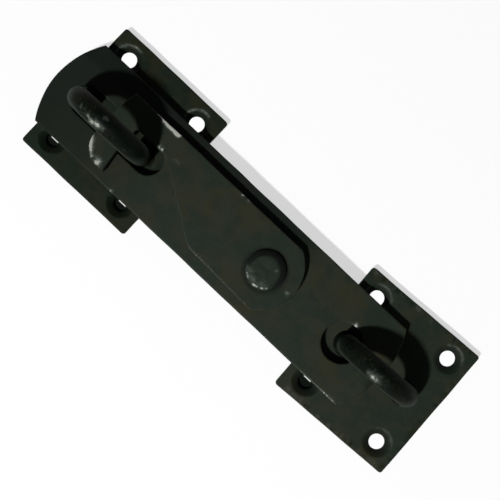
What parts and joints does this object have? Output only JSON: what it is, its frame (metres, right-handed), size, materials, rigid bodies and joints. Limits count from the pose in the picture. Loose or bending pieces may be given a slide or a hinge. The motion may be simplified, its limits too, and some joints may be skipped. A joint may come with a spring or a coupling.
{
  "type": "hasp",
  "caption": "Flat hasp strap linked to a staple on a screw plate, with a riveted swivel hook that locks it over the staple of a second screw plate.",
  "frame": {"origin": "centre of the hinge plate's back face", "axes": "+X along the strap from the hinge plate to the catch plate, +Z out of the mounting surface"},
  "size_m": [0.2034, 0.064, 0.0354],
  "materials": {
    "plate_iron": "satin black paint on iron plate",
    "staple_iron": "satin black paint on round iron bar, rubbed bright on the crown",
    "strap_iron": "satin black paint on flat iron bar",
    "hook_iron": "satin black paint, worn to bare metal on the tongue and neck",
    "rivet_iron": "satin black paint, rim worn to bare metal"
  },
  "bodies": {
    "hinge_side": {"hinge_plate": "plate_iron", "hinge_staple": "staple_iron"},
    "strap": {"strap": "strap_iron", "pivot_rivet": "rivet_iron"},
    "hook": {"swivel_hook": "hook_iron"},
    "catch_side": {"catch_plate": "plate_iron", "catch_staple": "staple_iron"}
  },
  "joints": [
    {"name": "strap_swing", "type": "hinge", "parent": "hinge_side", "child": "strap", "pos_m": [0.001, 0, 0.0057], "axis": [0, -1, 0], "range_deg": [0, 175]},
    {"name": "hook_swivel", "type": "hinge", "parent": "strap", "child": "hook", "pos_m": [0.0605, 0.0017, 0.0095], "axis": [0, 0, -1], "range_deg": [0, 110]},
    {"name": "catch_play", "type": "slide", "parent": "strap", "child": "catch_side", "axis": [0, 0, -1], "range_m": [0, 0.009]}
  ]
}
